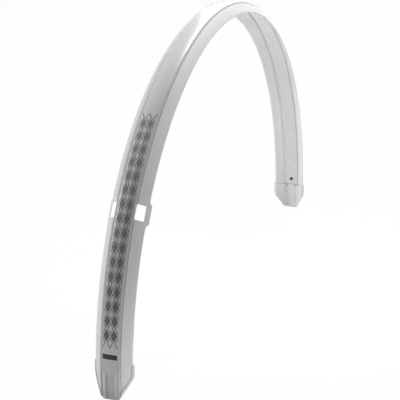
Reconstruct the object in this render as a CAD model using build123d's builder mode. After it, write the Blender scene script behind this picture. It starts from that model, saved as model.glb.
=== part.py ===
from build123d import *
import os
from math import asin, atan2, cos, degrees, radians, sin, sqrt

# Arch in the plane of the wheel: angles run round the axle from straight ahead, over the top
RIM_RADIUS = 344.0  # axle to the free edges of the flanges
FRONT_TIP_ANGLE = -4.15
REAR_TIP_ANGLE = 184.15
GUARD_WIDTH = 46.0  # across the free edges of the flanges
FIT = 0.1  # clearance between pieces that grip or cover one another

# Centre strip
STRIP_WIDTH = 22.8
STRIP_THICKNESS = 1.0
STRIP_CROWN = 1.4  # rise of the middle of the strip above its edges
STRIP_HEIGHT = 12.2  # outer edge of the strip above the rim radius
STRIP_SETBACK = 31.5  # tip of the guard to the middle of the strip's end
STRIP_END_BOW = 3.5  # middle of the strip's end beyond its corners

# Side profiles
JAW_GRIP = 1.0  # how far the jaw reaches over the edge of the strip
JAW_WEB = 0.6  # wall of the jaw outside the edge of the strip
JAW_LIP = 1.6  # jaw under the strip
BEAD_HEIGHT = 0.8  # jaw above the strip
BEAD_CHAMFER = 0.3
GROOVE_WIDTH = 0.7
GROOVE_DEPTH = 0.7  # floor of the groove below the top of the flange
FLANGE_DROP = 1.45  # top of the flange below the bead
FLANGE_BOW = 0.5  # outward bow of the flange from a straight line
WALL = 2.2
RIM_ROUND = 0.9

# Slot for the stay bracket and the ear below it, on both flanges
SLOT_ANGLE = 149.25
SLOT_LENGTH = 17.7  # round the arch
SLOT_WIDTH = 11.0  # down the flange
SLOT_CORNER = 1.2
SLOT_INSET = 0.2  # groove to the slot
EAR_REACH = 4.0  # down the flange past the free edge
EAR_LENGTH = 28.8  # where it leaves the free edge
EAR_TOP = 20.4  # along its own edge
EAR_INSET = 0.15  # each face of the ear behind that of the flange

# End caps
CAP_LENGTH = 40.0
CAP_STRAIGHT = 15.0  # length of the cap before it tapers
CAP_TIP_WIDTH = 20.0
CAP_SHOULDER_ROUND = 14.0
CAP_TIP_ROUND = 1.5
CAP_WALL = 1.3  # round the edge of the flange
CAP_LIP = 0.5  # over the outer face of the flange
CAP_LIP_WIDTH = 2.3  # outside of the cap to the inner line of its lip
CAP_PLATE = 1.0  # under the guard
PLATE_SETBACK = 3.5  # plate's edge in the channel, behind the ends of the lips
TONGUE_DROP = 0.4  # tongue below the face of the strip
RIB_HEIGHT = 1.0
RIB_WIDTH = 2.0
RIB_SPACING = 13.0
RIB_HOLLOW_WIDTH = 1.4
RIB_HOLLOW_DEPTH = 0.6
RIB_HOLLOW_LENGTH = 24.0
END_LIP_LENGTH = 2.5
END_LIP_DEPTH = 2.5

# Threaded insert near the front end
INSERT_SETBACK = 45.6  # tip of the guard to the insert, round the arch
THREAD_RADIUS = 2.1  # tapping size of an M5 thread
THREAD_DEPTH = 4.5
THREAD_CHAMFER = 0.5
COLLAR_RADIUS = 3.5
NUT_RADIUS = 4.75
NUT_FLOOR = 0.9  # closed end past the thread

# The section: lateral distance from the middle, and radius from the axle
CLEAR = 30.0  # past anything that a cut goes through
HALF_STRIP = STRIP_WIDTH / 2
STRIP_BEND = (HALF_STRIP**2 + STRIP_CROWN**2) / (2 * STRIP_CROWN)
STRIP_RADIUS = RIM_RADIUS + STRIP_HEIGHT + STRIP_CROWN


def strip_point(lateral, rise):
    """Point at a lateral distance on the strip's outer face, raised from it."""
    return (lateral, STRIP_RADIUS - STRIP_BEND + sqrt(STRIP_BEND**2 - lateral**2) + rise)


JAW_INNER = HALF_STRIP - JAW_GRIP
JAW_OUTER = HALF_STRIP + FIT + JAW_WEB
JAW_UNDER = strip_point(JAW_INNER, -STRIP_THICKNESS - JAW_LIP)[1]
FLANGE_TOP = Vector(JAW_OUTER + GROOVE_WIDTH, strip_point(JAW_OUTER, BEAD_HEIGHT - FLANGE_DROP)[1])
FLANGE_EDGE = Vector(GUARD_WIDTH / 2, RIM_RADIUS)
FLANGE_CHORD = FLANGE_EDGE - FLANGE_TOP
FLANGE_BEND = (FLANGE_CHORD.length**2 / 4 + FLANGE_BOW**2) / (2 * FLANGE_BOW)
FLANGE_NORMAL = FLANGE_CHORD.normalized().rotate(Axis.Z, 90)
FLANGE_CENTRE = (FLANGE_TOP + FLANGE_EDGE) / 2 - FLANGE_NORMAL * (FLANGE_BEND - FLANGE_BOW)
FLANGE_START = degrees(atan2(FLANGE_TOP.Y - FLANGE_CENTRE.Y, FLANGE_TOP.X - FLANGE_CENTRE.X))
FLANGE_LENGTH = 2 * FLANGE_BEND * asin(FLANGE_CHORD.length / 2 / FLANGE_BEND)


def flange_angle(along):
    """Direction of the flange's outward normal in the section, a distance down from its top."""
    return FLANGE_START - degrees(along / FLANGE_BEND)


def flange_point(depth, along):
    """Point below the flange's outer face, a distance down from its top."""
    angle = radians(flange_angle(along))
    reach = FLANGE_BEND - depth
    return (FLANGE_CENTRE.X + reach * cos(angle), FLANGE_CENTRE.Y + reach * sin(angle))


def strip_arc(start, end, rise):
    """Line across the strip from one lateral distance to another."""
    return ThreePointArc(*(strip_point(at, rise) for at in (start, (start + end) / 2, end)))


def flange_arc(start, end, depth):
    """Line down the flange from one distance to another."""
    return ThreePointArc(*(flange_point(depth, at) for at in (start, (start + end) / 2, end)))


def strip_section(gap=0.0, lift=0.0):
    """Section of the strip, with a gap all round it and its outer face lifted."""
    half = HALF_STRIP + gap
    with BuildSketch() as section:
        with BuildLine():
            outer = strip_arc(-half, half, gap + lift)
            inner = strip_arc(half, -half, -STRIP_THICKNESS - gap)
            Line(outer @ 1, inner @ 0)
            Line(inner @ 1, outer @ 0)
        make_face()
    return section.sketch


def side_section(gap=0.0):
    """Section of the left side profile, or with a gap of the room for it."""
    length = FLANGE_LENGTH + gap
    floor = FLANGE_TOP.Y - GROOVE_DEPTH
    groove = [] if gap else [(JAW_OUTER, floor), (JAW_OUTER + GROOVE_WIDTH / 2, floor)]
    with BuildSketch() as section:
        with BuildLine():
            outer = flange_arc(0, length, -gap)
            inner = flange_arc(length, 0, WALL + gap)
            Line(outer @ 1, inner @ 0)
            Polyline(
                inner @ 1,
                (JAW_INNER - gap, JAW_UNDER - gap),
                strip_point(JAW_INNER - gap, BEAD_HEIGHT + gap),
                strip_point(JAW_OUTER + gap, BEAD_HEIGHT + gap),
                *groove,
                outer @ 0,
            )
        make_face()
        fillet(section.vertices().sort_by(Axis.Y)[:2], RIM_ROUND)
    return section.sketch


def ear_section(root):
    """Section of the ear, from inside the free edge of the flange to its own edge."""
    with BuildSketch() as section:
        with BuildLine():
            outer = flange_arc(FLANGE_LENGTH - root, FLANGE_LENGTH + EAR_REACH, EAR_INSET)
            inner = flange_arc(FLANGE_LENGTH + EAR_REACH, FLANGE_LENGTH - root, WALL - EAR_INSET)
            Line(outer @ 1, inner @ 0)
            Line(inner @ 1, outer @ 0)
        make_face()
        fillet(section.vertices().sort_by(Axis.Y)[:2], RIM_ROUND - EAR_INSET)
    return section.sketch


# Frame: the origin is on the insert's axis where its thread begins, +X forwards, +Z up
THREAD_START_RADIUS = STRIP_RADIUS - STRIP_THICKNESS + THREAD_CHAMFER
INSERT_ANGLE = FRONT_TIP_ANGLE + degrees(INSERT_SETBACK / STRIP_RADIUS)


def radial(angle):
    """Direction out from the axle."""
    return Vector(cos(radians(angle)), 0, sin(radians(angle)))


def tangent(angle):
    """Direction round the arch, from the front to the rear."""
    return Vector(-sin(radians(angle)), 0, cos(radians(angle)))


AXLE = radial(INSERT_ANGLE) * -THREAD_START_RADIUS
WHEEL_AXIS = Axis(AXLE, (0, -1, 0))


def section_plane(angle):
    """Plane of the section: lateral distance across, radius from the axle up."""
    return Plane(AXLE, x_dir=(0, 1, 0), z_dir=tangent(angle) * -1)


def end_plane(angle, towards_tip):
    """Plan of one end, seen from outside: the tip at the origin, the guard towards -Y."""
    return Plane(AXLE + radial(angle) * RIM_RADIUS, x_dir=(0, towards_tip, 0), z_dir=radial(angle))


def insert_plane(along):
    """Plane across the insert's axis, a distance out from the start of its thread."""
    direction = radial(INSERT_ANGLE)
    return Plane(direction * along, x_dir=(0, 1, 0), z_dir=direction)


REAR_END = end_plane(REAR_TIP_ANGLE, 1)
FRONT_END = end_plane(FRONT_TIP_ANGLE, -1)
ARCH_MIDDLE = Plane(AXLE, x_dir=(0, 1, 0), z_dir=tangent((FRONT_TIP_ANGLE + REAR_TIP_ANGLE) / 2))
END_MARGIN = 1.0  # degrees
CAP_SPAN = degrees(asin(CAP_LENGTH / RIM_RADIUS))


def revolve_span(start, end, mode=Mode.ADD):
    """Carry the section at the start angle round the axle to the end angle."""
    revolve(axis=WHEEL_AXIS, revolution_arc=end - start, mode=mode)


def cap_outline(inset, back):
    """Plan of an end cap set in all round, from its tip back along the guard."""
    half = GUARD_WIDTH / 2 + FIT + CAP_WALL
    taper = CAP_LENGTH - CAP_STRAIGHT
    with BuildSketch() as plan:
        with BuildLine():
            Polyline(
                (-half, -back - inset),
                (half, -back - inset),
                (half, -taper),
                (CAP_TIP_WIDTH / 2, 0),
                (-CAP_TIP_WIDTH / 2, 0),
                (-half, -taper),
                close=True,
            )
        make_face()
        fillet(plan.vertices().sort_by(Axis.Y)[2:4], CAP_SHOULDER_ROUND)
        fillet(plan.vertices().sort_by(Axis.Y)[-2:], CAP_TIP_ROUND)
        if inset:
            offset(amount=-inset, kind=Kind.INTERSECTION, mode=Mode.REPLACE)
    return plan.sketch


def past_strip(gap):
    """Plan of all that lies past the bowed end of the strip."""
    corner = -STRIP_SETBACK - STRIP_END_BOW + gap
    with BuildSketch() as plan:
        with BuildLine():
            cut = ThreePointArc((-HALF_STRIP, corner), (0, -STRIP_SETBACK + gap), (HALF_STRIP, corner))
            Polyline(cut @ 1, (CLEAR, corner), (CLEAR, CLEAR), (-CLEAR, CLEAR), (-CLEAR, corner), cut @ 0)
        make_face()
    return plan.sketch


# Aluminium strip, with the hole for the insert
with BuildPart() as centre_strip:
    with BuildSketch(section_plane(FRONT_TIP_ANGLE)):
        add(strip_section())
    revolve_span(FRONT_TIP_ANGLE, REAR_TIP_ANGLE)
    for plane in (REAR_END, FRONT_END):
        with BuildSketch(plane):
            add(past_strip(0))
        extrude(amount=CLEAR, both=True, mode=Mode.SUBTRACT)
    with BuildSketch(insert_plane(0)):
        Circle(COLLAR_RADIUS + FIT)
    extrude(amount=CLEAR, both=True, mode=Mode.SUBTRACT)

# Left side profile: the ear first, then the flange with its jaw, then the slot and the tapered ends
SLOT_ALONG = SLOT_INSET + SLOT_WIDTH / 2
slot_lateral, slot_radius = flange_point(0, SLOT_ALONG)
slot_tilt = radians(flange_angle(SLOT_ALONG))
SLOT_PLANE = Plane(
    AXLE + Vector(0, slot_lateral, 0) + radial(SLOT_ANGLE) * slot_radius,
    x_dir=tangent(SLOT_ANGLE),
    z_dir=Vector(0, cos(slot_tilt), 0) + radial(SLOT_ANGLE) * sin(slot_tilt),
)
EAR_SPAN = degrees(EAR_LENGTH / RIM_RADIUS) + END_MARGIN
EAR_ROOT = 2 * RIM_ROUND
EAR_RAMP = (EAR_LENGTH - EAR_TOP) / 2 / EAR_REACH
EDGE_BELOW_SLOT = FLANGE_LENGTH - SLOT_ALONG

with BuildPart() as left_side_profile:
    with BuildSketch(section_plane(SLOT_ANGLE - EAR_SPAN / 2)):
        add(ear_section(EAR_ROOT))
    revolve_span(SLOT_ANGLE - EAR_SPAN / 2, SLOT_ANGLE + EAR_SPAN / 2)
    with BuildSketch(SLOT_PLANE):
        with BuildLine():
            root_half = EAR_LENGTH / 2 + EAR_RAMP * EAR_ROOT
            tip_half = EAR_TOP / 2 - EAR_RAMP * EAR_ROOT
            Polyline(
                (-root_half, EAR_ROOT - EDGE_BELOW_SLOT),
                (root_half, EAR_ROOT - EDGE_BELOW_SLOT),
                (tip_half, -EDGE_BELOW_SLOT - EAR_REACH - EAR_ROOT),
                (-tip_half, -EDGE_BELOW_SLOT - EAR_REACH - EAR_ROOT),
                close=True,
            )
        make_face()
    extrude(amount=CLEAR, both=True, mode=Mode.INTERSECT)
    with BuildSketch(section_plane(FRONT_TIP_ANGLE)) as flange_and_jaw:
        add(side_section())
        bead = [strip_point(at, BEAD_HEIGHT) for at in (JAW_INNER, JAW_OUTER)]
        corners = [flange_and_jaw.vertices().sort_by_distance(Vector(*at))[0] for at in bead]
        chamfer(corners, BEAD_CHAMFER)
        add(strip_section(gap=FIT), mode=Mode.SUBTRACT)
    revolve_span(FRONT_TIP_ANGLE, REAR_TIP_ANGLE)
    with BuildSketch(SLOT_PLANE):
        RectangleRounded(SLOT_LENGTH, SLOT_WIDTH, SLOT_CORNER)
    extrude(amount=2 * WALL, both=True, mode=Mode.SUBTRACT)
    for plane in (REAR_END, FRONT_END):
        with BuildSketch(plane):
            with Locations((0, -CAP_LENGTH)):
                Rectangle(2 * GUARD_WIDTH, CAP_LENGTH + CLEAR, align=(Align.CENTER, Align.MIN))
            add(cap_outline(CAP_WALL + FIT, 2 * CAP_LENGTH), mode=Mode.SUBTRACT)
        extrude(amount=CLEAR, both=True, mode=Mode.SUBTRACT)

with BuildPart() as right_side_profile:
    mirror(left_side_profile.part, about=Plane.XZ)

# Room that the ends of the guard take up inside a cap
CAP_START = REAR_TIP_ANGLE - CAP_SPAN - END_MARGIN
CAP_END = REAR_TIP_ANGLE + END_MARGIN

with BuildPart() as side_room:
    with BuildSketch(section_plane(CAP_START)):
        add(side_section(gap=FIT))
        mirror(about=Plane.YZ)
    revolve_span(CAP_START, CAP_END)
    with BuildSketch(REAR_END):
        add(cap_outline(CAP_WALL, 2 * CAP_LENGTH))
    extrude(amount=CLEAR, both=True, mode=Mode.INTERSECT)

with BuildPart() as strip_room:
    with BuildSketch(section_plane(CAP_START)):
        add(strip_section(gap=FIT, lift=CLEAR / 2))
    revolve_span(CAP_START, CAP_END)
    with BuildSketch(REAR_END):
        add(past_strip(FIT))
    extrude(amount=CLEAR, both=True, mode=Mode.SUBTRACT)

# Opening of the cap over the flanges, inside the line of its lip
with BuildPart() as lip_window:
    with BuildSketch(section_plane(CAP_START)):
        with BuildLine():
            middle = flange_arc(FLANGE_LENGTH + CAP_WALL, 0, WALL / 2)
            Polyline(
                middle @ 1,
                strip_point(JAW_INNER - FIT, -STRIP_THICKNESS / 2),
                strip_point(JAW_INNER - FIT, CLEAR / 2),
                (GUARD_WIDTH, STRIP_RADIUS + CLEAR / 2),
                (GUARD_WIDTH, (middle @ 0).Y),
                middle @ 0,
            )
        make_face()
        mirror(about=Plane.YZ)
    revolve_span(CAP_START, CAP_END)
    with BuildSketch(REAR_END):
        add(cap_outline(CAP_LIP_WIDTH, 2 * CAP_LENGTH))
    extrude(amount=CLEAR, both=True, mode=Mode.INTERSECT)


def cap_section():
    """Section of a solid cap, before the guard's room and the opening are cut from it."""
    length = FLANGE_LENGTH + FIT + CAP_WALL
    under = FIT + CAP_PLATE
    step = JAW_INNER - under
    rib_inner = RIB_SPACING / 2 - RIB_WIDTH / 2
    rib_outer = RIB_SPACING / 2 + RIB_WIDTH / 2
    jaw_middle = (JAW_INNER + JAW_OUTER) / 2
    with BuildSketch() as section:
        with BuildLine():
            outer = flange_arc(0, length, -FIT - CAP_LIP)
            inner = flange_arc(length, 0, WALL + under)
            Line(outer @ 1, inner @ 0)
            channel = strip_arc(step, 0, -STRIP_THICKNESS - under)
            Polyline(inner @ 1, (step, JAW_UNDER - under), channel @ 0)
            tongue = strip_arc(0, rib_inner, -TONGUE_DROP)
            Line(channel @ 1, tongue @ 0)
            Polyline(
                tongue @ 1,
                strip_point(rib_inner, RIB_HEIGHT - TONGUE_DROP),
                strip_point(rib_outer, RIB_HEIGHT - TONGUE_DROP),
                strip_point(rib_outer, -TONGUE_DROP),
                strip_point(jaw_middle, -TONGUE_DROP),
                strip_point(jaw_middle, BEAD_HEIGHT + FIT + CAP_LIP / 2),
                outer @ 0,
            )
        make_face()
        mirror(about=Plane.YZ)
    return section.sketch


# Rear cap: lips, plate and tongue in one moulding, with a turned-in end and hollows behind its ribs
END_LIP_START = REAR_TIP_ANGLE - degrees(END_LIP_LENGTH / RIM_RADIUS)
PLATE_UNDER = -STRIP_THICKNESS - FIT - CAP_PLATE
HOLLOW_START = REAR_TIP_ANGLE - degrees(CAP_LENGTH / RIM_RADIUS)
HOLLOW_END = HOLLOW_START + degrees((PLATE_SETBACK + RIB_HOLLOW_LENGTH) / RIM_RADIUS)

with BuildPart() as rear_end_cap:
    with BuildSketch(section_plane(CAP_START)):
        add(cap_section())
    revolve_span(CAP_START, CAP_END)
    for side in (-1, 1):
        with BuildSketch(section_plane(HOLLOW_START)):
            with Locations(strip_point(side * RIB_SPACING / 2, PLATE_UNDER + RIB_HOLLOW_DEPTH)):
                Rectangle(RIB_HOLLOW_WIDTH, CLEAR / 2, align=(Align.CENTER, Align.MAX))
        revolve_span(HOLLOW_START, HOLLOW_END, mode=Mode.SUBTRACT)
    with BuildSketch(section_plane(END_LIP_START)):
        with Locations(strip_point(0, PLATE_UNDER + CAP_PLATE / 2)):
            Rectangle(CAP_TIP_WIDTH, END_LIP_DEPTH + CAP_PLATE / 2, align=(Align.CENTER, Align.MAX))
    revolve_span(END_LIP_START, CAP_END)
    with BuildSketch(REAR_END):
        add(cap_outline(0, CAP_LENGTH))
    extrude(amount=CLEAR, both=True, mode=Mode.INTERSECT)
    add(side_room.part, mode=Mode.SUBTRACT)
    add(strip_room.part, mode=Mode.SUBTRACT)
    add(lip_window.part, mode=Mode.SUBTRACT)
    with BuildSketch(REAR_END):
        with BuildLine():
            lip_line = GUARD_WIDTH / 2 + FIT + CAP_WALL - CAP_LIP_WIDTH
            Polyline(
                (-lip_line, -CAP_LENGTH),
                (lip_line, -CAP_LENGTH),
                (JAW_INNER, PLATE_SETBACK - CAP_LENGTH),
                (-JAW_INNER, PLATE_SETBACK - CAP_LENGTH),
                close=True,
            )
        make_face()
    extrude(amount=CLEAR, both=True, mode=Mode.SUBTRACT)

with BuildPart() as front_end_cap:
    mirror(rear_end_cap.part, about=ARCH_MIDDLE)

# Closed nut pressed into the strip from outside, its thread open to the wheel side
NUT_SEAT = STRIP_THICKNESS + FIT - THREAD_CHAMFER

with BuildPart() as front_threaded_insert:
    with BuildSketch(insert_plane(-THREAD_CHAMFER)):
        Circle(COLLAR_RADIUS)
    extrude(amount=STRIP_THICKNESS + FIT)
    with BuildSketch(insert_plane(NUT_SEAT)):
        Circle(NUT_RADIUS)
    extrude(amount=THREAD_DEPTH + NUT_FLOOR - NUT_SEAT)
    with BuildSketch(insert_plane(-THREAD_CHAMFER)):
        Circle(THREAD_RADIUS)
    extrude(amount=THREAD_CHAMFER + THREAD_DEPTH, mode=Mode.SUBTRACT)
    rims = front_threaded_insert.edges().filter_by(GeomType.CIRCLE)
    thread_rims = rims.filter_by(lambda edge: abs(edge.radius - THREAD_RADIUS) < FIT)
    chamfer(thread_rims.sort_by(Axis((0, 0, 0), radial(INSERT_ANGLE)))[0], THREAD_CHAMFER)

os.makedirs("parts", exist_ok=True)
centre_strip.part.label = "centre_strip"
export_step(centre_strip.part, "parts/centre_strip.step")
left_side_profile.part.label = "left_side_profile"
export_step(left_side_profile.part, "parts/left_side_profile.step")
right_side_profile.part.label = "right_side_profile"
export_step(right_side_profile.part, "parts/right_side_profile.step")
rear_end_cap.part.label = "rear_end_cap"
export_step(rear_end_cap.part, "parts/rear_end_cap.step")
front_end_cap.part.label = "front_end_cap"
export_step(front_end_cap.part, "parts/front_end_cap.step")
front_threaded_insert.part.label = "front_threaded_insert"
export_step(front_threaded_insert.part, "parts/front_threaded_insert.step")
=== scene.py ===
import bmesh
import bpy
import numpy as np
from mathutils import Matrix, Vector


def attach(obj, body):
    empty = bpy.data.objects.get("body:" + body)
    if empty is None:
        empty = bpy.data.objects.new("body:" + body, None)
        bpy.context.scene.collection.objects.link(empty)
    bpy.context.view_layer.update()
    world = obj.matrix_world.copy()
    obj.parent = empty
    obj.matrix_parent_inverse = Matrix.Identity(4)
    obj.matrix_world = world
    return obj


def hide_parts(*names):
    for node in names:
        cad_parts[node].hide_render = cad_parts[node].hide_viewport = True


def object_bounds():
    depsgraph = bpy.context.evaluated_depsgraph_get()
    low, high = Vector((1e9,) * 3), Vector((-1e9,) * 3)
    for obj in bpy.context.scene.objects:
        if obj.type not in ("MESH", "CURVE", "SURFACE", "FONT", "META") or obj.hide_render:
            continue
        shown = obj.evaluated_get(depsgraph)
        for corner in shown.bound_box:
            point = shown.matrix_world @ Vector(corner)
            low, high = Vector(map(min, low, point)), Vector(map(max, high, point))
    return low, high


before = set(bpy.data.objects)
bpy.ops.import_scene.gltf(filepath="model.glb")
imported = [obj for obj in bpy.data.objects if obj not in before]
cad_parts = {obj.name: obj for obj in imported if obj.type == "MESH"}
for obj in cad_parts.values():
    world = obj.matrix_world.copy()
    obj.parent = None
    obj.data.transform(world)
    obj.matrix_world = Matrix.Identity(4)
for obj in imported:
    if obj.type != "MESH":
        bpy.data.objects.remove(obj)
cad_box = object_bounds()

# Centre strip: a thin aluminium band, rolled to a shallow crown, bent round the wheel and lacquered pale
# silver, with grey lozenges and a black band printed on its rear half. Both side profiles clip on its
# edges, and each end is cut in a bow under an end cap.
MILLIMETRE = 0.001
RIM_RADIUS = 344.0
FRONT_TIP, REAR_TIP = np.radians((-4.15, 184.15))
STRIP_HALF = 11.4
STRIP_HEIGHT = 12.2
STRIP_CROWN = 1.4
STRIP_THICKNESS = 1.0
STRIP_TOP = RIM_RADIUS + STRIP_HEIGHT + STRIP_CROWN
STRIP_BEND = (STRIP_HALF**2 + STRIP_CROWN**2) / (2 * STRIP_CROWN)
STRIP_SETBACK = 31.5
STRIP_END_BOW = 3.5
END_CURVE = (STRIP_HALF**2 + STRIP_END_BOW**2) / (2 * STRIP_END_BOW)
INSERT_SETBACK = 45.6
INSERT_ANGLE = FRONT_TIP + INSERT_SETBACK / STRIP_TOP
INSERT_HOLE = 3.6
AXLE_TO_ORIGIN = STRIP_TOP - STRIP_THICKNESS / 2
AXLE_X = -AXLE_TO_ORIGIN * np.cos(INSERT_ANGLE)
AXLE_Z = -AXLE_TO_ORIGIN * np.sin(INSERT_ANGLE)
FACE_INSET = 0.03
BOW_REACH = 12.0
HOLE_WINDOW = 5.4
HOLE_EDGE = 0.12
HOLE_STEP = 0.9
FRONT_STEP = 1.2
ARCH_STEP = 2.2
ACROSS_STEP = 0.75
SHARP_DEGREES = 40


def strip_radius(lateral, rise):
    """Radius from the axle to the strip's outer face: a circle through its edges and crown, plus a rise."""
    return STRIP_TOP - STRIP_BEND + np.sqrt(STRIP_BEND**2 - lateral**2) + rise


def around_axle(lateral, radius, angle):
    """Place in the row frame: out from the axle by the radius at an angle over the top, and across."""
    return np.stack(
        np.broadcast_arrays(AXLE_X + radius * np.cos(angle), lateral, AXLE_Z + radius * np.sin(angle)), -1
    )


def loop_faces(rings):
    """Quads between each ring of point numbers and the next, every ring closed on itself."""
    here, there = rings[:-1], rings[1:]
    quads = (here, np.roll(here, -1, axis=1), np.roll(there, -1, axis=1), there)
    return np.stack(quads, -1).reshape(-1, 4)


def window_edge(numbers):
    """The point numbers round the border of a block of a grid, in order and with no point twice."""
    return np.concatenate((numbers[0, :-1], numbers[:-1, -1], numbers[-1, :0:-1], numbers[:0:-1, 0]))


def hole_rings(along, across, half, corner, depth, edge):
    """Rings from a window's border on one face, in to a hole with rounded corners, through it and out to the
    border on the other face. The hole's line is the border's point drawn in to the core of the rounded
    rectangle, then out by its corner radius; a quarter round breaks both of the hole's edges."""
    core = [np.clip(at, corner - size, size - corner) for at, size in zip((along, across), half)]
    outward = np.stack((along - core[0], across - core[1]))
    outward = outward / np.linalg.norm(outward, axis=0)
    turn = np.radians((0.0, 30.0, 60.0, 90.0))
    grown = edge * (1 - np.sin(turn))
    sunk = edge * (1 - np.cos(turn))
    line = [np.stack(core) + outward * (corner + more) for more in grown]
    border = np.stack((along, across))
    approach = [border + (line[0] - border) * share for share in (0.35, 0.7)]
    flat = np.stack(approach + line + line[::-1] + approach[::-1])
    level = np.concatenate(((0, 0), sunk, depth - sunk[::-1], (depth, depth)))
    return flat[:, 0], flat[:, 1], np.broadcast_to(level[:, None], flat[:, 0].shape)


def add_piece(name, points, faces, places, sharp_degrees):
    """Writes points in millimetres and arrays of faces as one closed mesh in metres, its faces turned out.
    Each point also carries its place: how far along the arch, how far across and how deep it lies."""
    mesh = bpy.data.meshes.new(name)
    mesh.vertices.add(len(points))
    mesh.vertices.foreach_set("co", (points * MILLIMETRE).astype(np.float32).ravel())
    counts = np.concatenate([np.full(len(group), group.shape[1]) for group in faces])
    starts = np.concatenate(((0,), np.cumsum(counts)[:-1]))
    corners = np.concatenate([group.ravel() for group in faces])
    mesh.loops.add(len(corners))
    mesh.loops.foreach_set("vertex_index", corners.astype(np.int32))
    mesh.polygons.add(len(counts))
    mesh.polygons.foreach_set("loop_start", starts.astype(np.int32))
    mesh.update(calc_edges=True)
    turned = bmesh.new()
    turned.from_mesh(mesh)
    bmesh.ops.recalc_face_normals(turned, faces=turned.faces)
    turned.to_mesh(mesh)
    turned.free()
    mesh.shade_smooth()
    mesh.set_sharp_from_angle(angle=np.radians(sharp_degrees))
    place = mesh.attributes.new("place", "FLOAT_VECTOR", "POINT")
    place.data.foreach_set("vector", places.astype(np.float32).ravel())
    piece = bpy.data.objects.new(name, mesh)
    bpy.context.scene.collection.objects.link(piece)
    return piece


def between(low, high, step):
    """Even marks from low to high, about a step apart."""
    return np.linspace(low, high, max(2, int(round((high - low) / step)) + 1))


hole_marks = between(-HOLE_WINDOW, HOLE_WINDOW, HOLE_STEP)
strip_front = FRONT_TIP + np.arcsin(STRIP_SETBACK / STRIP_TOP)
strip_rear = REAR_TIP - np.arcsin(STRIP_SETBACK / STRIP_TOP)
hole_angles = INSERT_ANGLE + hole_marks / STRIP_TOP
front_angles = between(strip_front, hole_angles[0], FRONT_STEP / STRIP_TOP)[:-1]
rear_angles = between(hole_angles[-1], strip_rear, ARCH_STEP / STRIP_TOP)[1:]
strip_angles = np.concatenate((front_angles, hole_angles, rear_angles))
side_marks = between(HOLE_WINDOW, STRIP_HALF, ACROSS_STEP)[1:]
strip_marks = np.concatenate((-side_marks[::-1], hole_marks, side_marks))
lateral = np.concatenate((strip_marks, strip_marks[::-1]))[None, :]
rise = np.repeat((-FACE_INSET, -STRIP_THICKNESS), len(strip_marks))[None, :]
radius = strip_radius(lateral, rise)
setback = STRIP_SETBACK + END_CURVE - np.sqrt(END_CURVE**2 - lateral**2)
to_front = np.clip(1 - (strip_angles - strip_front) * STRIP_TOP / BOW_REACH, 0, 1)[:, None]
to_rear = np.clip(1 - (strip_rear - strip_angles) * STRIP_TOP / BOW_REACH, 0, 1)[:, None]
angle = strip_angles[:, None]
angle = angle + to_front * (FRONT_TIP + np.arcsin(setback / radius) - strip_front)
angle = angle + to_rear * (REAR_TIP - np.arcsin(setback / radius) - strip_rear)
rows, columns = angle.shape
numbers = np.arange(rows * columns).reshape(rows, columns)
first_row = len(front_angles)
last_row = first_row + len(hole_marks)
first_mark = len(side_marks)
last_mark = first_mark + len(hole_marks)
kept = np.ones((rows - 1, columns), bool)
kept[first_row:last_row - 1, first_mark:last_mark - 1] = False
kept[first_row:last_row - 1, columns - last_mark:columns - first_mark - 1] = False
outer_border = window_edge(numbers[first_row:last_row, first_mark:last_mark])
inner_border = window_edge(numbers[first_row:last_row, columns - last_mark:columns - first_mark][:, ::-1])
border_rows, border_columns = np.divmod(outer_border, columns)
ring_along, ring_across, ring_depth = hole_rings(
    (strip_angles[border_rows] - INSERT_ANGLE) * STRIP_TOP, lateral[0, border_columns],
    (INSERT_HOLE, INSERT_HOLE), INSERT_HOLE, STRIP_THICKNESS, HOLE_EDGE,
)
ring_angle = INSERT_ANGLE + ring_along / STRIP_TOP
rings = rows * columns + np.arange(ring_angle.size).reshape(ring_angle.shape)
end_outer = numbers[[0, -1], :len(strip_marks)]
end_inner = numbers[[0, -1], len(strip_marks):][:, ::-1]
end_faces = np.stack((end_outer[:, :-1], end_outer[:, 1:], end_inner[:, 1:], end_inner[:, :-1]), -1)
strip = add_piece(
    "centre_strip_lacquered",
    np.concatenate((
        around_axle(lateral, radius, angle).reshape(-1, 3),
        around_axle(ring_across, strip_radius(ring_across, -ring_depth), ring_angle).reshape(-1, 3),
    )),
    [
        loop_faces(numbers)[kept.ravel()],
        loop_faces(np.concatenate((outer_border[None], rings, inner_border[None]))),
        end_faces.reshape(-1, 4),
    ],
    np.concatenate((
        np.stack(np.broadcast_arrays((angle - FRONT_TIP) * STRIP_TOP, lateral, -rise), -1).reshape(-1, 3),
        np.stack(((ring_angle - FRONT_TIP) * STRIP_TOP, ring_across, ring_depth), -1).reshape(-1, 3),
    )),
    SHARP_DEGREES,
)


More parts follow.
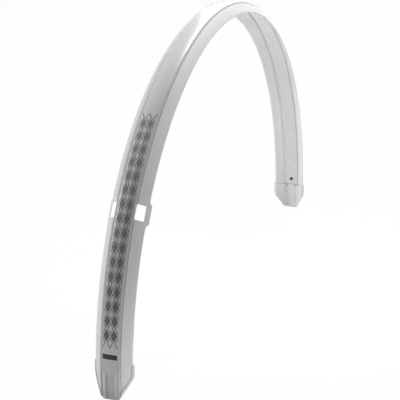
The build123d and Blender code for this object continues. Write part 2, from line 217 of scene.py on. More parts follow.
class Wire:
    """An output socket of a material's nodes. Each operator on it adds the Math node that works it out."""

    def __init__(self, tree, socket=None):
        self.tree = tree
        self.socket = socket

    def node(self, kind, settings=(), sockets=(), output=0):
        """Adds a node: its settings first, then its sockets' values or links. Gives one of its outputs."""
        made = self.tree.nodes.new("ShaderNode" + kind)
        for name, value in dict(settings).items():
            setattr(made, name, value)
        for key, value in dict(sockets).items():
            if isinstance(value, Wire):
                self.tree.links.new(value.socket, made.inputs[key])
            else:
                made.inputs[key].default_value = value
        return Wire(self.tree, made.outputs[output])

    def beside(self, output):
        """Another output of the same node."""
        return Wire(self.tree, self.socket.node.outputs[output])

    def math(self, operation, *values):
        """Adds a Math node on values or links."""
        return self.node("Math", {"operation": operation}, dict(enumerate(values)))

    def __add__(self, other):
        return self.math("ADD", self, other)

    __radd__ = __add__

    def __sub__(self, other):
        return self.math("SUBTRACT", self, other)

    def __rsub__(self, other):
        return self.math("SUBTRACT", other, self)

    def __mul__(self, other):
        return self.math("MULTIPLY", self, other)

    __rmul__ = __mul__

    def __truediv__(self, other):
        return self.math("DIVIDE", self, other)

    def __mod__(self, other):
        return self.math("FLOORED_MODULO", self, other)

    def __abs__(self):
        return self.math("ABSOLUTE", self)

    def sign(self):
        return self.math("SIGN", self)

    def least(self, other):
        return self.math("MINIMUM", self, other)

    def most(self, other):
        return self.math("MAXIMUM", self, other)

    def inside(self, soft):
        """1 where a signed distance is below zero and 0 where it is above, over a soft edge."""
        settings = {"operation": "MULTIPLY_ADD", "use_clamp": True}
        return self.node("Math", settings, {0: self, 1: -1 / soft, 2: 0.5})


def new_finish(name, **constants):
    """A material with one Principled shader: its even values are set here, and its tree is given to wire."""
    finish = bpy.data.materials.new(name)
    finish.use_nodes = True
    shader = finish.node_tree.nodes["Principled BSDF"]
    for key, value in constants.items():
        shader.inputs[key.replace("_", " ").title().replace("Ior", "IOR")].default_value = value
    return finish, shader, Wire(finish.node_tree)


def stretched(wire, place, scale):
    """A place multiplied by a scale of its own in each of its three directions."""
    return wire.node("VectorMath", {"operation": "MULTIPLY"}, {0: place, 1: scale})


def noise(wire, place, scale, detail, roughness):
    """Soft noise about a half at a place."""
    sockets = {"Vector": place, "Scale": scale, "Detail": detail, "Roughness": roughness}
    return wire.node("TexNoise", (), sockets)


def blend_colours(wire, share, first, second):
    """Colour mixed from the first to the second by a share."""
    return wire.node("Mix", {"data_type": "RGBA"}, {0: share, 6: first, 7: second}, 2)


def link(wire, shader, key):
    """Feeds one of the shader's sockets."""
    wire.tree.links.new(wire.socket, shader.inputs[key])


LACQUER = (0.574, 0.591, 0.586, 1)
LACQUER_STREAK = (0.676, 0.693, 0.688, 1)
LACQUER_METAL = 0.5
LACQUER_ROUGHNESS = 0.26
FLAKE_ROUGHENING = 0.03
PRINT_ROUGHENING = 0.12
STREAK_STRETCH = (0.012, 1.3, 1.0)
FLAKE_SCALE = 2.6
FACE_SOFT = 0.2
# Painted shade: a darker grey for the seams where the strip meets the side profiles, also used on the flanges
# below.
SEAM_SHADE_GREY = (0.26, 0.262, 0.257, 1)
SEAM_START = 9.9
SEAM_SOFT = 0.7
SEAM_SHARE = 0.28
SEAM_LEFT_LESS = 0.25
PRINT_GREY = (0.23, 0.232, 0.231, 1)
PRINT_GREY_SHADED = (0.105, 0.106, 0.105, 1)
PRINT_DARK = (0.045, 0.045, 0.045, 1)
PRINT_BLACK = (0.012, 0.012, 0.012, 1)
PRINT_START = 844.0
LOZENGE_HALF_LENGTH = 8.2
LOZENGE_HALF_WIDTH = 4.4
LOZENGE_SLOPE = np.hypot(1 / LOZENGE_HALF_LENGTH, 1 / LOZENGE_HALF_WIDTH)
LOZENGES_LONG = 16
PRINT_LENGTH = LOZENGES_LONG * 2 * LOZENGE_HALF_LENGTH
FIELD_GAP = 0.3
OUTLINE_INSET = 1.1
LINE_HALF = 0.4
BAND_RUN = 279.0
BAND_HALF = 3.0
PRINT_SOFT = 0.14
lacquer, shader, wire = new_finish("silver_lacquer", coat_weight=1.0, coat_roughness=0.03, coat_ior=1.5)
place = wire.node("Attribute", {"attribute_name": "place"}, (), "Vector")
split = wire.node("SeparateXYZ", (), {0: place})
run = split - PRINT_START
across = split.beside(1)
deep = split.beside(2)
outer_face = (deep - STRIP_THICKNESS / 2).inside(FACE_SOFT)
streaks = noise(wire, stretched(wire, place, STREAK_STRETCH), scale=1.0, detail=4.0, roughness=0.65)
flakes = noise(wire, place, FLAKE_SCALE, detail=2.0, roughness=0.6)
fold_along = abs(run % (2 * LOZENGE_HALF_LENGTH) - LOZENGE_HALF_LENGTH) / LOZENGE_HALF_LENGTH
fold_across = abs(abs(across) - LOZENGE_HALF_WIDTH) / LOZENGE_HALF_WIDTH
past_edge = (fold_along + fold_across - 1) / LOZENGE_SLOPE
in_width = abs(across) - 2 * LOZENGE_HALF_WIDTH
in_print = (abs(run - PRINT_LENGTH / 2) - PRINT_LENGTH / 2).most(in_width)
in_lines = (in_print - LOZENGE_HALF_LENGTH).most(in_width)
band = (abs(run - BAND_RUN) - BAND_HALF).most(in_width)
grey = (past_edge + FIELD_GAP).most(in_print).inside(PRINT_SOFT) * outer_face
dark = (abs(past_edge - OUTLINE_INSET) - LINE_HALF).most(in_lines).inside(PRINT_SOFT) * outer_face
black = band.inside(PRINT_SOFT) * outer_face
# Painted shade along both edges of the strip's outer face, much weaker on the left edge.
seam_shade_share = SEAM_SHARE - SEAM_LEFT_LESS * across.sign()
seam_shade = (SEAM_START - abs(across)).inside(SEAM_SOFT) * seam_shade_share * outer_face
# Painted shade: the grey lozenges darken along the print towards its rear end, lower on the arch.
print_shade = (PRINT_LENGTH / 2 - run).inside(PRINT_LENGTH)
tone = blend_colours(wire, streaks, LACQUER, LACQUER_STREAK)
tone = blend_colours(wire, grey, tone, blend_colours(wire, print_shade, PRINT_GREY, PRINT_GREY_SHADED))
tone = blend_colours(wire, dark, tone, PRINT_DARK)
tone = blend_colours(wire, black, tone, PRINT_BLACK)
tone = blend_colours(wire, seam_shade, tone, SEAM_SHADE_GREY)
link(tone, shader, "Base Color")
printed = grey.most(dark).most(black)
link(LACQUER_ROUGHNESS + PRINT_ROUGHENING * printed + FLAKE_ROUGHENING * flakes, shader, "Roughness")
link(LACQUER_METAL - LACQUER_METAL * printed, shader, "Metallic")
strip.data.materials.append(lacquer)
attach(strip, "root")
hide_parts("centre_strip")

# Side profiles: a handed pair of extruded white plastic flanges. The jaw of each grips an edge of the strip,
# a fine groove runs beside the jaw, and near the rear a slot and an ear take the stay bracket.
FIT = 0.1
SEAM_GAP = 0.01
JAW_GRIP = 1.0
JAW_WEB = 0.6
JAW_LIP = 1.6
JAW_INNER = STRIP_HALF - JAW_GRIP
JAW_OUTER = STRIP_HALF + FIT + JAW_WEB
BEAD_RISE = 0.42
BEAD_ROUND = 0.38
BEAD_SWELL = 1.0
BEAD_TURN = 0.6
GROOVE_WIDTH = 0.7
GROOVE_DEPTH = 0.2
FLANGE_DROP = 0.65
FLANGE_BOW = 0.5
WALL = 2.2
RIM_ROUND = 1.1
RIM_HALF = 23.0
SLOT_ANGLE = np.radians(149.25)
SLOT_LENGTH = 17.7
SLOT_TOP = -1.5
SLOT_FOOT = 11.2
SLOT_HALF = (SLOT_LENGTH / 2, (SLOT_FOOT - SLOT_TOP) / 2)
SLOT_MIDDLE = (SLOT_TOP + SLOT_FOOT) / 2
SLOT_CORNER = 1.2
SLOT_EDGE = 0.15
SLOT_SLANT = 1.3
SLOT_THINNING = 1.0
THINNING_END = 24.0
THINNING_FADE = 8.0
EAR_REACH = 4.0
EAR_INSET = 0.34
EAR_LENGTH = 28.8
EAR_TOP = 20.4
EAR_SOFT = 0.7
CAP_WALL = 1.3
CAP_HALF = RIM_HALF + FIT + CAP_WALL
CAP_TAPER = 25.0
CAP_TIP_HALF = 10.0
CAP_SHOULDER = 14.0
END_REACH = 60.0
QUARTER_POINTS = 5
POCKET_POINTS = 4
RIM_POINTS = 6
EAR_SAMPLES = 7
flange_top = np.array((JAW_OUTER + GROOVE_WIDTH, strip_radius(JAW_OUTER, -FLANGE_DROP)))
flange_chord = np.array((RIM_HALF, RIM_RADIUS)) - flange_top
chord_length = np.linalg.norm(flange_chord)
FLANGE_BEND = (chord_length**2 / 4 + FLANGE_BOW**2) / (2 * FLANGE_BOW)
chord_normal = np.array((-flange_chord[1], flange_chord[0])) / chord_length
flange_centre = flange_top + flange_chord / 2 - chord_normal * (FLANGE_BEND - FLANGE_BOW)
flange_start = np.arctan2(*(flange_top - flange_centre)[::-1])
FLANGE_LENGTH = 2 * FLANGE_BEND * np.arcsin(chord_length / 2 / FLANGE_BEND)


def flange_place(down, depth):
    """Lateral distance and radius on the flange: on a circle bowed outwards, a way down it and a depth in."""
    turn = flange_start - down / FLANGE_BEND
    reach = FLANGE_BEND - depth
    return flange_centre[0] + reach * np.cos(turn), flange_centre[1] + reach * np.sin(turn)


def quarter(centre, width, height, start, end):
    """Points of an arc of an ellipse in the section: lateral distances and radii."""
    turn = np.radians(np.linspace(start, end, QUARTER_POINTS))
    return np.stack((centre[0] + width * np.cos(turn), centre[1] + height * np.sin(turn)))


def end_distance(across):
    """How far short of the guard's tip a side ends: a slanted line that a round joins to a straight edge."""
    slope = (CAP_HALF - CAP_TIP_HALF) / CAP_TAPER
    tilt = np.arctan(slope)
    round_centre = CAP_TAPER + CAP_SHOULDER * np.tan(tilt / 2)
    size = CAP_SHOULDER - CAP_WALL - FIT
    beyond = np.clip(across - (CAP_HALF - CAP_SHOULDER), 0, size)
    on_round = round_centre - np.sqrt(size**2 - beyond**2)
    on_line = round_centre - size * np.sin(tilt) + (beyond - size * np.cos(tilt)) / slope
    return np.where(beyond > size * np.cos(tilt), on_round, on_line)


SLOT_WINDOW = SLOT_HALF[0] + 1.0
SLOT_STRAIGHT = SLOT_HALF[0] - SLOT_CORNER
SLOT_STEP = 1.3
CORNER_STEP = 0.55
EAR_WINDOW = 16.0
EAR_STEP = 0.45
JAW_DOWNS = (-2.8, -0.35)
TOP_DOWN = 1.4
TOP_STEP = 0.35
CORNER_DOWN = SLOT_FOOT - SLOT_CORNER
MIDDLE_STEP = 1.2
WINDOW_DOWN = SLOT_FOOT + 2.0
RIM_STEP = 0.5
slot_marks = np.concatenate((
    between(-SLOT_WINDOW, -SLOT_STRAIGHT, CORNER_STEP),
    between(-SLOT_STRAIGHT, SLOT_STRAIGHT, SLOT_STEP)[1:-1],
    between(SLOT_STRAIGHT, SLOT_WINDOW, CORNER_STEP),
))
ear_marks = between(SLOT_WINDOW, EAR_WINDOW, EAR_STEP)[1:]
slot_radius = flange_place(SLOT_MIDDLE, 0)[1]
near_slot = SLOT_ANGLE + np.concatenate((-ear_marks[::-1], slot_marks, ear_marks)) / slot_radius
side_front = FRONT_TIP + np.arcsin(end_distance(JAW_INNER) / STRIP_TOP)
side_rear = REAR_TIP - np.arcsin(end_distance(JAW_INNER) / STRIP_TOP)
front_angles = between(side_front, near_slot[0], ARCH_STEP / STRIP_TOP)[:-1]
rear_angles = between(near_slot[-1], side_rear, ARCH_STEP / STRIP_TOP)[1:]
side_angles = np.concatenate((front_angles, near_slot, rear_angles))
slot_downs = np.concatenate((
    between(0, TOP_DOWN, TOP_STEP),
    between(TOP_DOWN, CORNER_DOWN, MIDDLE_STEP)[1:-1],
    between(CORNER_DOWN, WINDOW_DOWN, CORNER_STEP),
))
edge_downs = between(WINDOW_DOWN, FLANGE_LENGTH - RIM_ROUND, RIM_STEP)[1:-1]
face_downs = np.concatenate((slot_downs, edge_downs))
bead_inner, bead_outer = strip_radius(np.array((JAW_INNER, JAW_OUTER)), BEAD_RISE - BEAD_ROUND)
groove_floor = flange_top[1] - GROOVE_DEPTH
jaw_top = np.concatenate((
    quarter((JAW_INNER + BEAD_SWELL, bead_inner), BEAD_SWELL, BEAD_ROUND, 180, 90),
    quarter((JAW_OUTER - BEAD_TURN, bead_outer), BEAD_TURN, BEAD_ROUND, 90, 0),
    np.array(((JAW_OUTER, JAW_OUTER + GROOVE_WIDTH / 2), (groove_floor, groove_floor))),
), axis=1)
bead_crest = QUARTER_POINTS - 1
over_jaw = jaw_top.shape[1] - bead_crest
window_downs = np.concatenate((np.linspace(*JAW_DOWNS, over_jaw), slot_downs))
pocket = np.linspace(JAW_INNER, STRIP_HALF + FIT, POCKET_POINTS)
jaw_low = np.concatenate((
    np.array(((JAW_INNER,), (strip_radius(JAW_INNER, -STRIP_THICKNESS - JAW_LIP),))),
    np.stack((pocket, strip_radius(pocket, -STRIP_THICKNESS - FIT))),
    np.stack((pocket[::-1], strip_radius(pocket[::-1], SEAM_GAP - FACE_INSET))),
), axis=1)
rim_turn = np.radians(np.linspace(90, 0, RIM_POINTS))
rim_out = np.concatenate((np.cos(rim_turn), np.cos(rim_turn[::-1])))
rim_downs = FLANGE_LENGTH - RIM_ROUND + RIM_ROUND * rim_out
rim_depths = np.concatenate((1 - np.sin(rim_turn), np.sin(rim_turn[::-1]) - 1)) * RIM_ROUND
rim_depths[len(rim_turn):] += WALL
flange_downs = np.concatenate((face_downs, rim_downs, face_downs[::-1]))
flange_depths = np.concatenate((np.zeros(len(face_downs)), rim_depths, np.full(len(face_downs), WALL)))
ear_share = np.clip((flange_downs - WINDOW_DOWN) / (FLANGE_LENGTH - RIM_ROUND - WINDOW_DOWN), 0, 1)
from_slot = RIM_RADIUS * np.sin(side_angles - SLOT_ANGLE)[:, None]
ear_along = from_slot + np.linspace(-EAR_SOFT, EAR_SOFT, EAR_SAMPLES)
ear_slope = np.clip((EAR_LENGTH / 2 - abs(ear_along)) / (EAR_LENGTH / 2 - EAR_TOP / 2), 0, 1)
ear = ear_slope.mean(axis=1)[:, None] * ear_share
ear_inset = EAR_INSET * ear * (1 - 2 * flange_depths / WALL)
thinned = 1 - SLOT_THINNING / WALL * np.clip((THINNING_END - abs(from_slot)) / THINNING_FADE, 0, 1)
flange_lateral, flange_radius = flange_place(
    flange_downs + EAR_REACH * ear, (flange_depths + ear_inset) * thinned
)
under_share = np.linspace(0, 1, over_jaw + 2)[1:-1]
under_lateral = flange_lateral[:, -1:] + (jaw_low[0, 0] - flange_lateral[:, -1:]) * under_share
under_radius = flange_radius[:, -1:] + (jaw_low[1, 0] - flange_radius[:, -1:]) * under_share
every = np.ones((len(side_angles), 1))
lateral = np.concatenate((every * jaw_top[0], flange_lateral, under_lateral, every * jaw_low[0]), axis=1)
radius = np.concatenate((every * jaw_top[1], flange_radius, under_radius, every * jaw_low[1]), axis=1)
to_front = np.clip(1 - (side_angles - side_front) * STRIP_TOP / END_REACH, 0, 1)[:, None]
to_rear = np.clip(1 - (side_rear - side_angles) * STRIP_TOP / END_REACH, 0, 1)[:, None]
side_end = np.arcsin(end_distance(lateral) / radius)
angle = side_angles[:, None] + to_front * (FRONT_TIP + side_end - side_front)
angle = angle + to_rear * (REAR_TIP - side_end - side_rear)
rows, columns = angle.shape
numbers = np.arange(rows * columns).reshape(rows, columns)
first_row = len(front_angles) + len(ear_marks)
last_row = first_row + len(slot_marks)
outer_end = jaw_top.shape[1] + len(slot_downs)
inner_end = jaw_top.shape[1] + len(flange_downs) + over_jaw
inner_start = inner_end - len(window_downs)
outer_block = numbers[first_row:last_row, bead_crest:outer_end]
inner_block = numbers[first_row:last_row, inner_start:inner_end][:, ::-1]
kept = np.ones((rows - 1, columns), bool)
kept[first_row:last_row - 1, bead_crest:outer_end - 1] = False
kept[first_row:last_row - 1, inner_start:inner_end - 1] = False
border_rows, border_columns = np.divmod(window_edge(outer_block), columns)
border_downs = window_downs[border_columns - bead_crest]
border_radius = flange_place(border_downs, 0)[1]
ring_along, ring_down, ring_depth = hole_rings(
    border_radius * np.sin(side_angles[border_rows] - SLOT_ANGLE), border_downs - SLOT_MIDDLE,
    SLOT_HALF, SLOT_CORNER, WALL - SLOT_THINNING, SLOT_EDGE,
)
ring_lateral, ring_radius = flange_place(ring_down + SLOT_MIDDLE + SLOT_SLANT * ring_depth, ring_depth)
ring_angle = SLOT_ANGLE + np.arcsin(ring_along / ring_radius)
rings = rows * columns + np.arange(ring_angle.size).reshape(ring_angle.shape)
side_faces = [
    loop_faces(numbers)[kept.ravel()],
    loop_faces(np.concatenate((window_edge(outer_block)[None], rings, window_edge(inner_block)[None]))),
    numbers[[0, -1]],
]
side_across = np.concatenate((lateral.ravel(), ring_lateral.ravel()))
side_radius = np.concatenate((radius.ravel(), ring_radius.ravel()))
side_angle = np.concatenate((angle.ravel(), ring_angle.ravel()))
PLASTIC = (0.77, 0.77, 0.755, 1)
PLASTIC_PALE = (0.80, 0.80, 0.79, 1)
PLASTIC_ROUGHNESS = 0.42
LINE_ROUGHENING = 0.1
LINE_STRETCH = (0.02, 3.0, 3.0)
CLOUD_SCALE = 0.05
# Painted shade: the bead, the groove and the corner under the jaw are darkened, more on the right flange.
BEAD_SHADE = 0.17
GROOVE_SHADE = 0.35
SHADE_SOFT = 0.3
UNDERSIDE = 10.3
SHADE_FADE_START = (np.radians(177.0) - FRONT_TIP) * STRIP_TOP
SHADE_FADE_SOFT = 50.0
SHADE_KEPT_SHARE = 0.35
CORNER_ACROSS = 12.2
CORNER_SOFT = 0.4
CORNER_SHADE = 0.46
CORNER_LEFT_LESS = 0.24
plastic, shader, wire = new_finish("extruded_white_plastic", specular_ior_level=0.35)
place = wire.node("Attribute", {"attribute_name": "place"}, (), "Vector")
split = wire.node("SeparateXYZ", (), {0: place})
along = split
across = split.beside(1)
rise = split.beside(2)
seen = wire.node("TexCoord", (), (), "Object")
left = wire.node("SeparateXYZ", (), {0: seen}, 1).sign()
lines = noise(wire, stretched(wire, place, LINE_STRETCH), scale=1.0, detail=3.0, roughness=0.6)
cloud = noise(wire, place, CLOUD_SCALE, detail=2.0, roughness=0.5)
# Painted shade: bead and groove on the right flange's outer face, weaker near the rear tip, then a dark line
# in the corner under the jaw on both flanges, stronger on the right.
groove = (abs(across - flange_top[0] + GROOVE_WIDTH / 2) - GROOVE_WIDTH / 2).inside(SHADE_SOFT)
bead = (across - JAW_OUTER).inside(SHADE_SOFT)
painted_shade = (bead * (BEAD_SHADE - BEAD_SHADE * left)).most(groove * (GROOVE_SHADE - GROOVE_SHADE * left))
painted_shade = painted_shade * (UNDERSIDE - rise).inside(SHADE_SOFT)
painted_shade = painted_shade * (SHADE_KEPT_SHARE + (1 - SHADE_KEPT_SHARE) * (along - SHADE_FADE_START).inside(SHADE_FADE_SOFT))
corner = (across - CORNER_ACROSS).most(rise - UNDERSIDE).inside(CORNER_SOFT)
painted_shade = painted_shade.most((CORNER_SHADE - CORNER_LEFT_LESS * left) * corner)
tone = blend_colours(wire, cloud, PLASTIC, PLASTIC_PALE)
tone = blend_colours(wire, painted_shade, tone, SEAM_SHADE_GREY)
link(tone, shader, "Base Color")
link(PLASTIC_ROUGHNESS + LINE_ROUGHENING * lines, shader, "Roughness")
bump = wire.node("Bump", (), {"Strength": 0.06, "Distance": 0.0002, "Height": lines})
link(bump, shader, "Normal")
for name, node, hand in (
    ("left_side_flange", "left_side_profile", 1), ("right_side_flange", "right_side_profile", -1),
):
    side = add_piece(
        name, around_axle(hand * side_across, side_radius, side_angle), side_faces,
        np.stack(((side_angle - FRONT_TIP) * STRIP_TOP, side_across, side_radius - RIM_RADIUS), -1),
        SHARP_DEGREES,
    )
    side.data.materials.append(plastic)
    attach(side, "root")
    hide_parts(node)

# End caps: one white moulding pushed over each end of the guard. Lips hold the flange edges, a plate lies
# under the strip, two ribs stiffen the tongue and the end turns in; the moulded face is finely matt.
CAP_WHITE = (0.77, 0.77, 0.76, 1)
CAP_SHADE = (0.74, 0.74, 0.73, 1)
CAP_TONGUE_SHADE = (0.60, 0.60, 0.59, 1)
CAP_HOLLOW_SHADE = (0.22, 0.22, 0.215, 1)
CAP_ROUGHNESS = 0.4
GRAIN_ROUGHENING = 0.12
GRAIN_SCALE = 2600.0
FLOW_SCALE = 60.0
EDGE_SOFT = 0.3
EDGE_ROUND_METRES = 0.0004
TONGUE_HALF = 5.4
PLATE_DROP = 1.3
PLATE_MIDDLE = STRIP_TOP - PLATE_DROP
HOLLOW_ACROSS = 6.5
HOLLOW_HALF_WIDTH = 0.8
HOLLOW_ALONG = 35.2
HOLLOW_HALF_LENGTH = 1.4
cap_finish, shader, wire = new_finish("moulded_white_plastic", ior=1.5)
seen = wire.node("TexCoord", (), (), "Object")
grain = noise(wire, seen, GRAIN_SCALE, detail=2.0, roughness=0.6)
flow = noise(wire, seen, FLOW_SCALE, detail=2.0, roughness=0.5)
spot = stretched(wire, seen, (1 / MILLIMETRE,) * 3)
spot = wire.node("VectorMath", {"operation": "SUBTRACT"}, {0: spot, 1: (AXLE_X, 0.0, AXLE_Z)})
in_plane = stretched(wire, spot, (1.0, 0.0, 1.0))
radius = wire.node("VectorMath", {"operation": "LENGTH"}, {0: in_plane}, "Value")
across = abs(wire.node("SeparateXYZ", (), {0: spot}, 1))
to_tip = (-np.sin(FRONT_TIP), 0.0, np.cos(FRONT_TIP))
from_tip = wire.node("VectorMath", {"operation": "DOT_PRODUCT"}, {0: in_plane, 1: to_tip}, "Value")
# Painted shade: the recessed tongue between the ribs on the outer face is coloured a darker grey.
tongue = (across - TONGUE_HALF).most(PLATE_MIDDLE - radius).inside(EDGE_SOFT)
# Painted shade: a small dark patch at the end of each rib's hollow on the inner face.
hole = abs(across - HOLLOW_ACROSS) - HOLLOW_HALF_WIDTH
hole = hole.most(abs(from_tip - HOLLOW_ALONG) - HOLLOW_HALF_LENGTH).most(radius - PLATE_MIDDLE)
tone = blend_colours(wire, flow, CAP_WHITE, CAP_SHADE)
tone = blend_colours(wire, tongue, tone, CAP_TONGUE_SHADE)
tone = blend_colours(wire, hole.inside(EDGE_SOFT), tone, CAP_HOLLOW_SHADE)
link(tone, shader, "Base Color")
link(CAP_ROUGHNESS + GRAIN_ROUGHENING * grain, shader, "Roughness")
rounded = wire.node("Bevel", {"samples": 6}, {"Radius": EDGE_ROUND_METRES})
bump = wire.node("Bump", (), {"Strength": 0.12, "Distance": 0.0001, "Height": grain, "Normal": rounded})
link(bump, shader, "Normal")
for name in ("rear_end_cap", "front_end_cap"):
    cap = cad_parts[name]
    cap.data.materials.clear()
    cap.data.materials.append(cap_finish)

# Threaded insert: a closed zinc-plated steel nut, turned from bar and pressed into the strip near its front
# end. Its collar fills the strip's hole flush, and its M5 thread is open to the wheel side.
THREAD_RADIUS = 2.1
THREAD_DEPTH = 4.5
THREAD_PITCH = 0.8
THREAD_CUT = 0.35
THREAD_RUN_OUT = 0.4
FLOOR_RADIUS = 1.2
MOUTH = 0.5
MOUTH_EDGE = 0.05
COLLAR_RADIUS = 3.5
COLLAR_TOP = 0.6
EDGE_BREAK = 0.1
NUT_RADIUS = 4.75
NUT_ROUND = 0.5
NUT_FLOOR = 0.9
NUT_TOP = THREAD_DEPTH + NUT_FLOOR
NUT_FACE = 2.15
NUT_SHARP_DEGREES = 35
NUT_SIDES = 64
THREAD_RINGS = 61
turns = np.linspace(0, 2 * np.pi, NUT_SIDES + 1)[:-1]
end_round = np.radians(np.linspace(90, 0, QUARTER_POINTS))
thread_out = np.linspace(0, THREAD_DEPTH, THREAD_RINGS)
outline_radius = np.concatenate((
    (NUT_FACE,),
    NUT_RADIUS - NUT_ROUND + NUT_ROUND * np.cos(end_round),
    (NUT_RADIUS, NUT_RADIUS - EDGE_BREAK),
    (COLLAR_RADIUS, COLLAR_RADIUS, COLLAR_RADIUS - EDGE_BREAK),
    (THREAD_RADIUS + MOUTH + MOUTH_EDGE, THREAD_RADIUS + MOUTH),
    np.full(len(thread_out), THREAD_RADIUS),
    (FLOOR_RADIUS,),
))[:, None]
outline_out = np.concatenate((
    (NUT_TOP,),
    NUT_TOP - NUT_ROUND + NUT_ROUND * np.sin(end_round),
    (COLLAR_TOP + EDGE_BREAK, COLLAR_TOP),
    (COLLAR_TOP, EDGE_BREAK - MOUTH, -MOUTH),
    (-MOUTH, MOUTH_EDGE - MOUTH),
    thread_out,
    (THREAD_DEPTH,),
))[:, None]
ridge = (outline_out / THREAD_PITCH - turns / (2 * np.pi)) % 1
run_out = np.clip(np.minimum(outline_out, THREAD_DEPTH - outline_out) / THREAD_RUN_OUT, 0, 1)
in_thread = np.zeros_like(outline_radius)
in_thread[-1 - len(thread_out):-1] = 1
nut_radius = outline_radius + in_thread * run_out * THREAD_CUT * (1 - abs(2 * ridge - 1))
nut_out = outline_out + 0 * turns
nut_across = nut_radius * np.sin(turns)
nut_up = nut_radius * np.cos(turns)
out_x, out_z = np.cos(INSERT_ANGLE), np.sin(INSERT_ANGLE)
nut_points = np.stack(
    (nut_out * out_x - nut_up * out_z, nut_across, nut_out * out_z + nut_up * out_x), -1
)
poles = np.array(((NUT_TOP * out_x, 0, NUT_TOP * out_z), (THREAD_DEPTH * out_x, 0, THREAD_DEPTH * out_z)))
numbers = np.arange(nut_out.size).reshape(nut_out.shape)
first, last = numbers[0], numbers[-1]
nut = add_piece(
    "front_insert_nut", np.concatenate((nut_points.reshape(-1, 3), poles)),
    [
        loop_faces(numbers),
        np.stack((np.roll(first, -1), first, np.full_like(first, nut_out.size)), -1),
        np.stack((last, np.roll(last, -1), np.full_like(last, nut_out.size + 1)), -1),
    ],
    np.concatenate((
        np.stack((nut_out, nut_radius, nut_across), -1).reshape(-1, 3),
        ((NUT_TOP, 0, 0), (THREAD_DEPTH, 0, 0)),
    )),
    NUT_SHARP_DEGREES,
)
ZINC = (0.72, 0.725, 0.73, 1)
ZINC_DULL = (0.58, 0.585, 0.59, 1)
ZINC_ROUGHNESS = 0.28
LATHE_ROUGHENING = 0.2
LATHE_STRETCH = (9.0, 9.0, 0.4)
BORE_SHADE = (0.3, 0.3, 0.3, 1)
BORE_ROUGHENING = 0.3
BORE_SOFT = 0.2
zinc, shader, wire = new_finish("zinc_plated_steel", metallic=1.0)
place = wire.node("Attribute", {"attribute_name": "place"}, (), "Vector")
out = wire.node("SeparateXYZ", (), {0: place})
radius = out.beside(1)
lathe = noise(wire, stretched(wire, place, LATHE_STRETCH), scale=1.0, detail=3.0, roughness=0.6)
# Painted shade: the thread and the floor of the blind bore are coloured a dark grey, and made rougher.
bore = (radius - THREAD_RADIUS - MOUTH).most(out - THREAD_DEPTH - BORE_SOFT).inside(BORE_SOFT)
tone = blend_colours(wire, lathe, ZINC_DULL, ZINC)
link(blend_colours(wire, bore, tone, BORE_SHADE), shader, "Base Color")
link(ZINC_ROUGHNESS + LATHE_ROUGHENING * lathe + BORE_ROUGHENING * bore, shader, "Roughness")
nut.data.materials.append(zinc)
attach(nut, "root")
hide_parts("front_threaded_insert")

# Studio: a plain pale floor under the guard's two ends and a white ground behind it. Shiny faces mirror that
# white ahead of the guard and a dimmer room behind the camera. The lamps are soft flat panels, and the two
# small ones light the inside of the arch and the foot of the rear end.
WHITE = (1, 1, 1, 1)
FLOOR_GREY = (0.8, 0.8, 0.8, 1)
FLOOR_SHOWN = 0.95
FLOOR_REACH_METRES = 5
ROOM_GREY = (0.5, 0.5, 0.5, 1)
ROOM_EDGE_METRES = -0.6
ROOM_SOFT_METRES = 0.2
ROOM_LEVEL = 0.2
AHEAD_WAY = (0.55, 0.4, 0.0)
AHEAD_LEVEL = 0.62
floor_height = cad_box[0][2]
floor_corners = FLOOR_REACH_METRES * np.array(((-1, -1, 0), (1, -1, 0), (1, 1, 0), (-1, 1, 0)))
floor_mesh = bpy.data.meshes.new("studio_floor")
floor_mesh.from_pydata((floor_corners + (0, 0, floor_height)).tolist(), [], [(0, 1, 2, 3)])
floor = bpy.data.objects.new("studio_floor", floor_mesh)
bpy.context.scene.collection.objects.link(floor)
floor_finish, shader, wire = new_finish(
    "studio_floor", base_color=FLOOR_GREY, roughness=0.9, specular_ior_level=0.0
)


def shown_rays(wire):
    """1 for rays from the camera, and 1 for those and for the rays that mirrors and glass send on."""
    pictured = wire.node("LightPath", (), (), "Is Camera Ray")
    mirrored = pictured.beside("Is Glossy Ray").most(pictured.beside("Is Transmission Ray"))
    return pictured, pictured.most(mirrored)


pictured, shown = shown_rays(wire)
spot = wire.node("TexCoord", (), (), "Object")
ahead = wire.node("SeparateXYZ", (), {0: spot})
ahead = (ROOM_EDGE_METRES - ahead).inside(ROOM_SOFT_METRES).most(pictured)
glow = wire.node("Emission", (), {"Color": blend_colours(wire, ahead, ROOM_GREY, WHITE), "Strength": 1.0})
lit = Wire(wire.tree, shader.outputs[0])
mixed = wire.node("MixShader", (), {0: shown * FLOOR_SHOWN, 1: lit, 2: glow})
wire.tree.links.new(mixed.socket, wire.tree.nodes["Material Output"].inputs[0])
floor_mesh.materials.append(floor_finish)

world = bpy.data.worlds.new("white_ground")
bpy.context.scene.world = world
world.use_nodes = True
background = world.node_tree.nodes["Background"]
background.inputs["Color"].default_value = WHITE
wire = Wire(world.node_tree)
pictured, shown = shown_rays(wire)
way = wire.node("TexCoord", (), (), "Generated")
ahead = wire.node("VectorMath", {"operation": "DOT_PRODUCT"}, {0: way, 1: AHEAD_WAY}, "Value")
ahead = (ahead + AHEAD_LEVEL).most(ROOM_LEVEL).least(1.0).most(pictured)
link(ROOM_LEVEL + (ahead - ROOM_LEVEL) * shown, background, "Strength")


def stand(thing, right, up, back, place):
    """Sets where a lamp or camera stands and which way its three axes point."""
    rows = [(*row, at) for row, at in zip(zip(right, up, back), place)]
    thing.matrix_world = Matrix(rows + [(0, 0, 0, 1)])


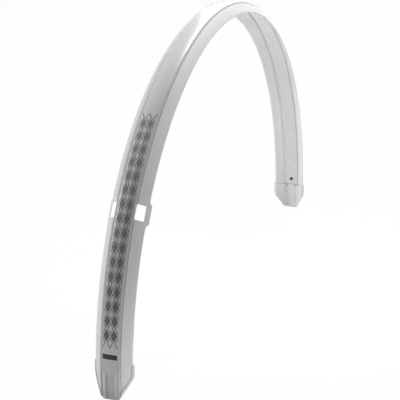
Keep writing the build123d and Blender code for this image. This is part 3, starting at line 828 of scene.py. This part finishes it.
def add_panel(name, place, aim, size, watts, roll=0.0, spread=180.0):
    """A flat soft light at a place in metres, turned to face a point and rolled about that line by some
    degrees. A spread below 180 degrees keeps its light to a narrower beam."""
    lamp = bpy.data.lights.new(name, "AREA")
    lamp.shape = "RECTANGLE"
    lamp.size, lamp.size_y = size
    lamp.energy = watts
    lamp.spread = np.radians(spread)
    panel = bpy.data.objects.new(name, lamp)
    bpy.context.scene.collection.objects.link(panel)
    back = np.array(place, float) - np.array(aim, float)
    back = back / np.linalg.norm(back)
    side = np.cross((0, 0, 1), back)
    side = side / np.linalg.norm(side)
    up = np.cross(back, side)
    turn = np.radians(roll)
    right = side * np.cos(turn) - up * np.sin(turn)
    stand(panel, right, side * np.sin(turn) + up * np.cos(turn), back, place)


guard_middle = (-0.357, 0.0, 0.12)
guard_crown = (-0.36, 0.0, 0.335)
rear_foot = (-0.712, -0.02, -0.03)
floor_below = (-0.359, -0.05, -0.04)
add_panel("crown_light", (1.68, 0.06, 1.691), guard_crown, size=(1.6, 3.2), watts=11, roll=-20)
add_panel("top_light", (0.835, -0.688, 2.086), guard_middle, size=(1.5, 1.5), watts=47)
add_panel("left_light", (-1.029, 2.22, 0.734), guard_middle, size=(1.5, 1.5), watts=27.5)
add_panel("rear_light", (-2.43, -1.2, 0.35), guard_middle, size=(1.5, 0.7), watts=3.0)
add_panel("under_light", (-0.36, -0.05, 0.175), floor_below, size=(0.45, 0.3), watts=0.68)
add_panel("foot_light", (-0.55, -0.5, 0.03), rear_foot, size=(0.12, 0.12), watts=0.025, spread=28.0)

# Camera: at the photograph's place, behind the guard's rear end, above it and to its right. Its lens gives
# the photograph's perspective in a square frame.
CAMERA_PLACE = (-1.945819, -0.55608, 0.646607)
CAMERA_FORWARD = np.array((0.8898933, 0.3247479, -0.3203571))
CAMERA_RIGHT = np.array((0.3433860, -0.9391927, 0.0017980))
SENSOR_WIDTH = 36.0
FOCAL_PIXELS = 1339.67
FRAME_PIXELS = 400
lens = bpy.data.cameras.new("photo_camera")
lens.sensor_width = SENSOR_WIDTH
lens.lens = SENSOR_WIDTH * FOCAL_PIXELS / FRAME_PIXELS
camera = bpy.data.objects.new("photo_camera", lens)
bpy.context.scene.collection.objects.link(camera)
stand(camera, CAMERA_RIGHT, np.cross(CAMERA_RIGHT, CAMERA_FORWARD), -CAMERA_FORWARD, CAMERA_PLACE)
bpy.context.scene.camera = camera
bpy.context.scene.view_settings.view_transform = "Standard"
